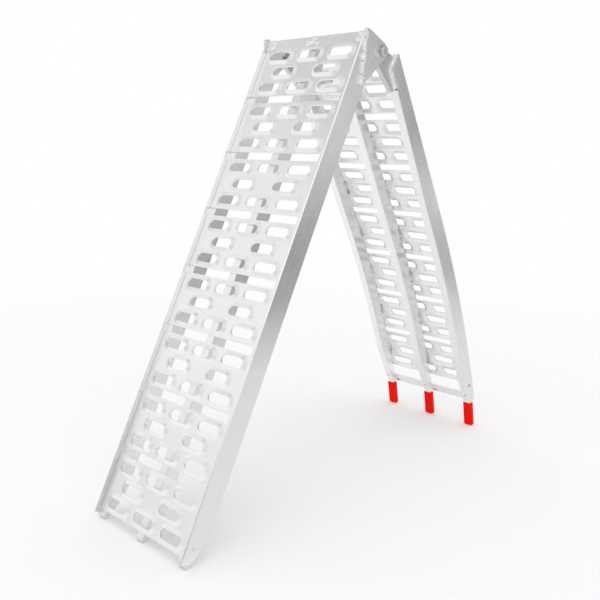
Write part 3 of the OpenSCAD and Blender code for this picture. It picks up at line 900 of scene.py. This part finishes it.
def make_pivots(look, shaded_washer_look):
    """Bolts through the ears and lugs, with a washer at both ends and a nut inside."""
    bolts, nuts, washers = Shape(), Shape(), Shape()
    outer = HALF_W + EAR_T
    seat = outer + WASHER_T
    inner = NUT_X - WASHER_T
    nut_end = inner - NUT_H
    ring = slab(circle(WASHER_R), 0, WASHER_T, WASHER_EDGE, [circle(BOLT_HOLE_R)])
    pad = lathe(HEAD_PAD)
    shank = lathe([(BOLT_R, 0), (BOLT_R, seat - inner + NUT_H)])
    for side in (-1, 1):
        place = IN_GROUND @ on_side(side)
        bolts.join(hexagon(HEAD_H, False).moved(place @ shift(seat, 0, 0)))
        bolts.join(pad.moved(place @ shift(seat + HEAD_H - HEAD_PAD_SUNK, 0, 0)))
        bolts.join(shank.moved(place @ shift(nut_end, 0, 0)))
        bolts.join(thread(THREAD_SHOW).moved(place @ shift(nut_end, 0, 0) @ MIRROR_X))
        nuts.join(hexagon(NUT_H, True).moved(place @ shift(nut_end, 0, 0)))
        for x in (outer, inner):
            washers.join(ring.moved(place @ shift(x, 0, 0)))
    piece("pivot_bolts", "hex", bolts, look, GROUND, sharp=25)
    piece("pivot_nuts", "hex", nuts, look, GROUND, sharp=25)
    # The washers wear the darker zinc, as painted shade beside the bolt heads and nuts
    piece("pivot_washers", "plain", washers, shaded_washer_look, GROUND)


def rivet():
    """Blind rivet head along X. Its map's height is 1 in the dimple, where the mandrel's stub sits and the
    look paints near black: the stub's steel and painted shade in the hole.
    """
    count, steps = 28, 7
    rise = RIVET_HEAD_H - RIVET_RIM
    dome = [(RIVET_HEAD_R, 0), (RIVET_HEAD_R, RIVET_RIM)]
    for i in range(1, steps):
        a = QUARTER * i / steps
        dome.append((STUB_R + (RIVET_HEAD_R - STUB_R) * math.cos(a), RIVET_RIM + rise * math.sin(a)))
    dome.append((STUB_R, RIVET_HEAD_H))
    dimple = [(r, RIVET_HEAD_H - deep) for r, deep in DIMPLE]
    made = lathe(dome + dimple, count)
    made.flat = [(0, 0)] * (len(dome) * count) + [(0, 1)] * (len(dimple) * count)
    return made


def make_rivets(foot_look, finger_look):
    made = Shape()
    depth = SKIN + RAIL_WALL + TUBE_FIT + TONGUE_H / 2
    for side in (-1, 1):
        place = at_ground(GROUND_END - FOOT_RIVET_IN) @ on_side(side) @ shift(HALF_W, 0, -depth)
        made.join(rivet().moved(place))
    piece("foot_rivets", "domed", made, foot_look, GROUND)
    made = Shape()
    down = Matrix.Rotation(QUARTER, 4, "Y")
    for column in (-1, 0, 1):
        place = at_finger(column) @ turn_x(TAPER_ANGLE) @ shift(0, -FINGER_RIVET_IN, -RAIL_WALL) @ down
        made.join(rivet().moved(place))
    piece("finger_rivets", "domed", made, finger_look, TAIL)


# Feet and fingers

CAP_SWELL = 0.4
CAP_EDGE = 1.4
NOSE_FROM = math.radians(-100)
MOUTH_R = 2
TIP_R = 4
SLEEVE_EDGE = 2.4


def cap_outline():
    """Side view of a foot cap, anticlockwise, in distance along the lip and height over it."""
    tip = FOOT_RISE - RAIL_H
    nose_z = tip - NOSE_DROP + NOSE_R
    top = math.asin((-SKIN - nose_z) / NOSE_R)
    nose = arc((GROUND_END, nose_z), NOSE_R, NOSE_FROM, top, steps=16)
    return [Vector((GROUND_END, -SKIN)), Vector((GROUND_END, tip))] + nose


def make_caps(look):
    """Plugs in the tips of the rails, with a round nose that stands on the ground."""
    for column, word in COLUMNS:
        x = column * (HALF_W - RAIL_W / 2) - RAIL_W / 2
        shape = slab(cap_outline(), x - CAP_SWELL, x + RAIL_W + CAP_SWELL, CAP_EDGE, steps=4)
        piece(f"foot_cap_{word}", "moulded", shape.moved(at_ground(0)), look, GROUND)


def sleeve_shape():
    """Dipped sleeve lying along Y from its mouth, its thickness in Z from the bar's underside."""
    half, steps = SLEEVE_W / 2, 6
    plan = rounded([(-half, SLEEVE_GAP, MOUTH_R), (half, SLEEVE_GAP, MOUTH_R),
                    (half, FINGER_L, TIP_R), (-half, FINGER_L, TIP_R)], steps)
    outline = [Vector((p.y, p.x)) for p in reversed(plan)]
    body = slab(outline, -SLEEVE_PAD, BAR_T + SLEEVE_PAD, SLEEVE_EDGE, steps=steps)
    body.points = [Vector((p.z, p.y, p.x)) for p in body.points]
    return body


def make_sleeves(look):
    for column, word in COLUMNS:
        place = at_finger(column) @ turn_x(-FINGER_BEND)
        piece(f"finger_sleeve_{word}", "dipped", sleeve_shape().moved(place), look, TAIL)


# Materials

class NodeTree:
    """Nodes of a material or of the world. An input gets a value or another node's output."""

    def __init__(self, made):
        self.made = made
        made.use_nodes = True
        self.nodes = made.node_tree.nodes
        self.links = made.node_tree.links

    def give(self, socket, value):
        if isinstance(value, bpy.types.NodeSocket):
            self.links.new(value, socket)
        else:
            socket.default_value = value

    def node(self, kind, inputs):
        made = self.nodes.new(f"ShaderNode{kind}")
        for name, value in inputs.items():
            self.give(made.inputs[name], value)
        return made


class Look(NodeTree):
    """A procedural material that is put together node by node."""

    def __init__(self, name, colour, rough, metal):
        super().__init__(bpy.data.materials.new(name))
        self.shader = self.nodes["Principled BSDF"]
        self.place = self.node("TexCoord", {})
        self.set("Base Color", (*colour, 1))
        self.set("Roughness", rough)
        self.set("Metallic", metal)

    def set(self, name, value):
        self.give(self.shader.inputs[name], value)

    def coords(self, output, scale):
        place = self.place.outputs[output]
        return self.node("Mapping", {"Vector": place, "Scale": scale}).outputs["Vector"]

    def noise(self, vector, scale, detail=3.0, rough=0.55):
        inputs = {"Vector": vector, "Scale": scale, "Detail": detail, "Roughness": rough}
        return self.node("TexNoise", inputs).outputs["Fac"]

    def specks(self, scale, detail=3.0, rough=0.55):
        """Even noise through the part."""
        return self.noise(self.coords("Object", (1, 1, 1)), scale, detail, rough)

    def grain(self, across, along, detail=3.0, rough=0.55):
        """Noise on the flat map, drawn out by unlike scales across and along a piece."""
        return self.noise(self.coords("UV", (across, along, 1)), 1.0, detail, rough)

    def remap(self, value, low, high, to_low, to_high):
        inputs = {"Value": value, "From Min": low, "From Max": high, "To Min": to_low, "To Max": to_high}
        return self.node("MapRange", inputs).outputs["Result"]

    def mix(self, value, one, two):
        node = self.node("Mix", {"Factor": value})
        node.data_type = "RGBA"
        for name, colour in (("A", one), ("B", two)):
            socket = next(s for s in node.inputs if s.name == name and s.type == "RGBA")
            self.give(socket, (*colour, 1) if isinstance(colour, tuple) else colour)
        return next(s for s in node.outputs if s.type == "RGBA")

    def add(self, one, two):
        return self.node("Math", {0: one, 1: two}).outputs["Value"]

    def axis(self, vector, name):
        return self.node("SeparateXYZ", {"Vector": vector}).outputs[name]

    def tint(self, value, one, two):
        self.set("Base Color", self.mix(value, one, two))

    def roughen(self, value, low, high, to_low, to_high):
        self.set("Roughness", self.remap(value, low, high, to_low, to_high))

    def bump(self, value, strength, distance):
        inputs = {"Height": value, "Strength": strength, "Distance": distance}
        self.set("Normal", self.node("Bump", inputs).outputs["Normal"])


def rail_look():
    """Extruded aluminium: long die lines, soft bands and a few scuffs."""
    look = Look("extruded_aluminium", (0.8, 0.81, 0.82), 0.36, 1.0)
    bands = look.grain(160, 0.9, 2.0)
    lines = look.grain(1500, 5, 4.0, 0.65)
    smudge = look.specks(14, 4.0)
    tone = look.add(look.remap(bands, 0.3, 0.7, 0, 0.6), look.remap(lines, 0.25, 0.75, 0, 0.4))
    look.tint(tone, (0.85, 0.855, 0.86), (0.95, 0.952, 0.955))
    look.roughen(look.add(lines, smudge), 0.6, 1.4, 0.22, 0.36)
    look.bump(lines, 0.15, 0.0003)
    return look.made


def deck_look():
    """Bright mill finish sheet: fine rolling grain, cloudy patches and light scratches."""
    look = Look("mill_finish_sheet", (0.86, 0.865, 0.87), 0.34, 1.0)
    grain = look.grain(900, 14, 4.0, 0.6)
    cloud = look.grain(9, 9, 5.0, 0.6)
    scratch = look.grain(40, 700, 2.0, 0.7)
    tone = look.add(look.remap(cloud, 0.3, 0.7, 0, 0.7), look.remap(grain, 0.3, 0.7, 0, 0.3))
    look.tint(tone, (0.87, 0.873, 0.877), (0.93, 0.932, 0.935))
    look.roughen(look.add(grain, cloud), 0.6, 1.4, 0.24, 0.36)
    look.bump(look.add(grain, scratch), 0.08, 0.0003)
    return look.made


def weld_look(name, dark, bright):
    """Weld metal: bright ripples with duller, sooty hollows."""
    look = Look(name, bright, 0.28, 1.0)
    spots = look.specks(260, 4.0, 0.6)
    soot = look.specks(60)
    tone = look.remap(look.add(spots, soot), 0.75, 1.25, 0, 1)
    look.tint(tone, dark, bright)
    look.roughen(spots, 0.3, 0.7, 0.18, 0.42)
    look.bump(spots, 0.35, 0.0006)
    return look.made


def bar_look():
    """Sawn flat bar: dull, with cross lines."""
    look = Look("flat_bar", (0.7, 0.7, 0.71), 0.45, 1.0)
    lines = look.noise(look.coords("Object", (60, 900, 900)), 1.0)
    cloud = look.specks(40, 4.0)
    look.tint(cloud, (0.6, 0.6, 0.61), (0.76, 0.76, 0.77))
    look.roughen(lines, 0.3, 0.7, 0.36, 0.55)
    look.bump(lines, 0.2, 0.0004)
    return look.made


def rivet_look():
    """Aluminium blind rivet, near black in its dimple: the dark steel stub of its mandrel, and painted
    shade in the hole.
    """
    look = Look("blind_rivet", (0.85, 0.85, 0.86), 0.3, 1.0)
    spots = look.specks(500)
    head = look.mix(spots, (0.78, 0.78, 0.79), (0.93, 0.93, 0.94))
    painted_dimple_shade = look.axis(look.coords("UV", (1, 1, 1)), "Y")
    # Near black in the dimple: the mandrel's stub, darkened as painted shade in the hole
    look.tint(painted_dimple_shade, head, (0.05, 0.05, 0.05))
    look.roughen(spots, 0.3, 0.7, 0.2, 0.4)
    return look.made


def zinc_look(name, dark, bright):
    """Zinc plated steel: patchy spangle, duller where it is handled."""
    look = Look(name, bright, 0.3, 1.0)
    patch = look.specks(420)
    dull = look.specks(120, 4.0)
    look.tint(patch, dark, bright)
    look.roughen(dull, 0.3, 0.7, 0.07, 0.18)
    look.bump(patch, 0.1, 0.0003)
    return look.made


def vinyl_look():
    """Dip moulded vinyl: saturated red with a soft orange peel and faint scuffs."""
    look = Look("dipped_vinyl", (0.75, 0.012, 0.006), 0.38, 0.0)
    peel = look.specks(350, 2.0)
    scuff = look.specks(55, 5.0, 0.65)
    worn = look.remap(scuff, 0.35, 0.75, 0, 1)
    look.tint(worn, (0.86, 0.004, 0.001), (0.94, 0.010, 0.003))
    look.roughen(scuff, 0.3, 0.7, 0.35, 0.55)
    look.bump(peel, 0.12, 0.0005)
    look.set("Specular IOR Level", 0.05)
    return look.made


def plastic_look():
    """Moulded grey plastic with a fine spark grain."""
    look = Look("moulded_grey", (0.5, 0.5, 0.5), 0.5, 0.0)
    grain = look.specks(1400, 2.0)
    cloud = look.specks(70, 4.0)
    look.tint(cloud, (0.66, 0.66, 0.66), (0.76, 0.76, 0.76))
    look.roughen(cloud, 0.3, 0.7, 0.42, 0.6)
    look.bump(grain, 0.25, 0.0003)
    return look.made


# Stage, light and camera, in metres

FLOOR_R = 3.2
FLOOR_DROP = 0.0005
FLOOR_SOLID = 1.3
FLOOR_GONE = 3.0
SKY = 0.98
WHITE = 1.0
# Distances of the studio's walls from the middle
CLOSE, NEAR, MIDWAY, FAR = 1.6, 2.2, 2.6, 6.0
CEILING = 11.0
CEILING_SLOPE = 0.2
FLOOR_CARD_LIFT = 0.002
FLOOR_CARD_LEVEL = 0.81


def floor_disc():
    steps, count = 8, 64
    disc = Shape()
    middle = disc.ring([Vector((0, 0, 0))])[0]
    rings = []
    for k in range(1, steps + 1):
        rings.append(disc.ring([Vector((p.x, p.y, 0)) for p in circle(FLOOR_R * k / steps, count)]))
    disc.faces += [(middle, rings[0][i - 1], rings[0][i]) for i in range(count)]
    disc.skin(rings)
    return disc


def floor_look():
    """White that fades out towards the rim of the floor."""
    look = Look("floor_white", (0.95, 0.95, 0.95), 0.9, 0.0)
    look.set("Specular IOR Level", 0.0)
    length = look.node("VectorMath", {0: look.place.outputs["Object"]})
    length.operation = "LENGTH"
    look.set("Alpha", look.remap(length.outputs["Value"], FLOOR_SOLID, FLOOR_GONE, 1, 0))
    return look.made


def show_plain(name, points, faces, look):
    """Puts an object of the stage into the scene."""
    mesh = bpy.data.meshes.new(name)
    mesh.from_pydata(points, [], faces)
    mesh.materials.append(look)
    return show(name, mesh)


def make_floor():
    """Pale round floor that fades into the white surround and keeps the shadow."""
    disc = floor_disc()
    floor = show_plain("floor", disc.points, disc.faces, floor_look())
    floor.location.z = -FLOOR_DROP


def make_world():
    """White surround for the camera and in the metal, and a plain sky light for the rest."""
    world = bpy.data.worlds.new("studio")
    bpy.context.scene.world = world
    tree = NodeTree(world)
    tree.nodes.clear()
    path = tree.node("LightPath", {})
    seen = path.outputs["Is Camera Ray"]
    for ray in ("Is Glossy Ray", "Is Transmission Ray"):
        either = tree.node("Math", {0: seen, 1: path.outputs[ray]})
        either.operation = "MAXIMUM"
        seen = either.outputs["Value"]
    mix = tree.node("MixShader", {"Fac": seen})
    for socket, strength in ((1, SKY), (2, WHITE)):
        light = tree.node("Background", {"Color": (1, 1, 1, 1), "Strength": strength})
        tree.give(mix.inputs[socket], light.outputs["Background"])
    tree.node("OutputWorld", {"Surface": mix.outputs["Shader"]})


def card_look(name, levels):
    """Plain light that varies with height. levels are (height, brightness) from low to high."""
    look = Look(name, (0, 0, 0), 1.0, 0.0)
    look.set("Specular IOR Level", 0.0)
    low, high = levels[0][0], levels[-1][0]
    height = look.axis(look.place.outputs["Object"], "Z")
    ramp = look.node("ValToRGB", {"Fac": look.remap(height, low, high, 0, 1)})
    ramp.color_ramp.interpolation = "EASE"
    stops = ramp.color_ramp.elements
    for z, _ in levels[1:-1]:
        stops.new((z - low) / (high - low))
    for stop, (_, level) in zip(stops, levels):
        stop.color = (level, level, level, 1)
    look.set("Emission Color", ramp.outputs["Color"])
    look.set("Emission Strength", 1.0)
    return look.made


def make_card(name, points, faces, levels):
    """Studio card that only the metal sees."""
    card = show_plain(name, points, faces, card_look(name, levels))
    card.visible_camera = False
    card.visible_diffuse = False
    card.visible_transmission = False
    card.visible_shadow = False


def make_wall(name, start, end, radius, levels):
    """Curved card round the studio, between two bearings in degrees from +X."""
    steps = 8
    low, high = levels[0][0], levels[-1][0]
    points = []
    for p in arc((0, 0), radius, math.radians(start), math.radians(end), steps):
        points += [Vector((p.x, p.y, low)), Vector((p.x, p.y, high))]
    faces = [(2 * i, 2 * i + 2, 2 * i + 3, 2 * i + 1) for i in range(steps)]
    make_card(f"wall_{name}", points, faces, levels)


def make_ceiling():
    """Sloped card overhead, low and bright in front."""
    rim = circle(FAR, count=24)
    points = [Vector((p.x, p.y, CEILING + CEILING_SLOPE * p.y)) for p in rim]
    drop = CEILING_SLOPE * FAR
    levels = ((CEILING - drop, 0.90), (CEILING - 0.5 * drop, 0.85), (CEILING, 0.68), (CEILING + drop, 0.62))
    make_card("ceiling", points, [tuple(range(len(points)))], levels)


def make_floor_card():
    """Grey card on the floor at the right that tones down the low ends of the rails."""
    left, right, front, back = 0.17, 2.4, -1.2, 2.2
    corners = ((left, front), (right, front), (right, back), (left, back))
    points = [Vector((x, y, FLOOR_CARD_LIFT)) for x, y in corners]
    make_card("floor_card", points, [(0, 1, 2, 3)], ((0.0, FLOOR_CARD_LEVEL), (1.0, FLOOR_CARD_LEVEL)))


def make_lamp(name, place, aim, size, watts):
    lamp = bpy.data.lights.new(name, "AREA")
    lamp.shape = "DISK"
    lamp.size = size
    lamp.energy = watts
    obj = show(name, lamp)
    obj.location = place
    obj.rotation_euler = (Vector(aim) - Vector(place)).to_track_quat("-Z", "Y").to_euler()
    obj.visible_glossy = False


def make_right_walls():
    """Cards that the outer faces of the right rails show, dark and light in turn."""
    make_wall("right", 5, 50, CLOSE,
              ((0.0, 0.34), (0.2, 0.26), (0.4, 0.33), (0.6, 0.48), (0.8, 0.70), (1.0, 0.82), (1.2, 0.58),
               (4.0, 0.66)))
    make_wall("right_back", 50, 95, MIDWAY,
              ((0.0, 0.43), (0.35, 0.40), (0.56, 0.95), (0.72, 0.46), (0.85, 0.27), (1.2, 0.25),
               (5.0, 0.50)))
    make_wall("front_right", 300, 365, FAR,
              ((0.0, 0.28), (1.0, 0.28), (1.45, 1.0), (2.4, 1.1), (9.8, 1.0)))


def make_left_walls():
    """Cards that the flares of the deck show from the back to the left."""
    make_wall("back", 100, 165, FAR, ((0.0, 0.95), (0.5, 0.90), (1.8, 0.80), (2.7, 0.66), (9.8, 0.66)))
    make_wall("left", 165, 195, FAR, ((0.0, 1.0), (2.1, 0.98), (3.2, 0.92), (9.8, 0.90)))
    make_wall("left_front", 195, 206, FAR, ((0.0, 0.92), (0.9, 0.97), (1.9, 0.92), (9.8, 0.89)))


def make_front_walls():
    """Cards that the deck shows. The near one shades the deck's top and its foot."""
    make_wall("front_left", 206, 243, FAR, ((0.0, 0.92), (9.8, 0.86)))
    make_wall("front_left_near", 203, 243, NEAR,
              ((0.0, 0.84), (0.25, 0.77), (0.6, 0.89), (1.0, 0.94), (1.5, 0.93), (1.95, 0.92), (2.35, 0.76),
               (2.75, 0.55), (4.0, 0.52)))
    make_wall("front", 243, 278, FAR,
              ((0.0, 0.97), (0.8, 0.90), (1.4, 0.64), (3.4, 0.64), (4.4, 0.88), (9.8, 0.86)))
    make_wall("ahead", 278, 300, FAR,
              ((0.0, 0.93), (1.4, 0.93), (2.7, 0.91), (4.2, 0.91), (6.3, 0.80), (8.0, 0.65), (9.8, 0.65)))


def make_studio():
    """Soft overhead light, and light grey cards that shade the metal as in the photograph."""
    make_lamp("overhead", place=(0.5, -0.9, 3.2), aim=(0, 0, 0.3), size=2.6, watts=9)
    make_ceiling()
    make_floor_card()
    make_right_walls()
    make_left_walls()
    make_front_walls()


# The camera was fitted to the rails, panels, feet and fingers of the photograph
CAMERA_AT = Vector((1.08469, -1.27731, 0.75162))
CAMERA_AZIMUTH = math.radians(42.003)
CAMERA_DOWN = math.radians(11.396)
CAMERA_ROLL = math.radians(1.652)
FOCAL_PIXELS = 719.27
IMAGE_PIXELS = 600
SENSOR = 36.0


def make_camera():
    turn = turn_z(CAMERA_AZIMUTH) @ turn_x(QUARTER - CAMERA_DOWN) @ turn_z(CAMERA_ROLL)
    data = bpy.data.cameras.new("camera")
    data.sensor_width = SENSOR
    data.lens = FOCAL_PIXELS / IMAGE_PIXELS * SENSOR
    camera = show("camera", data)
    camera.matrix_world = shift(*CAMERA_AT) @ turn
    bpy.context.scene.camera = camera


def make_part():
    rail = rail_look()
    weld = weld_look("weld_metal", (0.80, 0.80, 0.80), (0.99, 0.99, 0.99))
    sooty = weld_look("sooty_weld", (0.34, 0.34, 0.34), (0.98, 0.98, 0.98))
    zinc = zinc_look("zinc_plate", (0.74, 0.75, 0.77), (0.90, 0.90, 0.91))
    # Darker copy of the zinc for the washers: painted shade beside the bolt heads and nuts
    shaded_zinc = zinc_look("shaded_zinc", (0.42, 0.42, 0.43), (0.58, 0.58, 0.59))
    bar = bar_look()
    make_rails(rail)
    make_panels(deck_look())
    make_strips(rail)
    # The lugs take the darker flat bar look: painted shade from the ears over them
    make_hinge_plates(rail, bar)
    make_panel_welds(sooty)
    make_strip_welds(weld)
    make_ear_welds(weld)
    make_lug_welds(weld)
    make_pivots(zinc, shaded_zinc)
    make_rivets(weld, rivet_look())
    make_caps(plastic_look())
    make_sleeves(vinyl_look())
    for _, word in COLUMNS:
        node = frame["nodes"][f"finger_bar_{word}"]
        node.data.materials.clear()
        node.data.materials.append(bar)


def main():
    bpy.context.scene.view_settings.view_transform = "Standard"
    make_camera()
    make_world()
    make_floor()
    make_studio()
    make_part()


main()
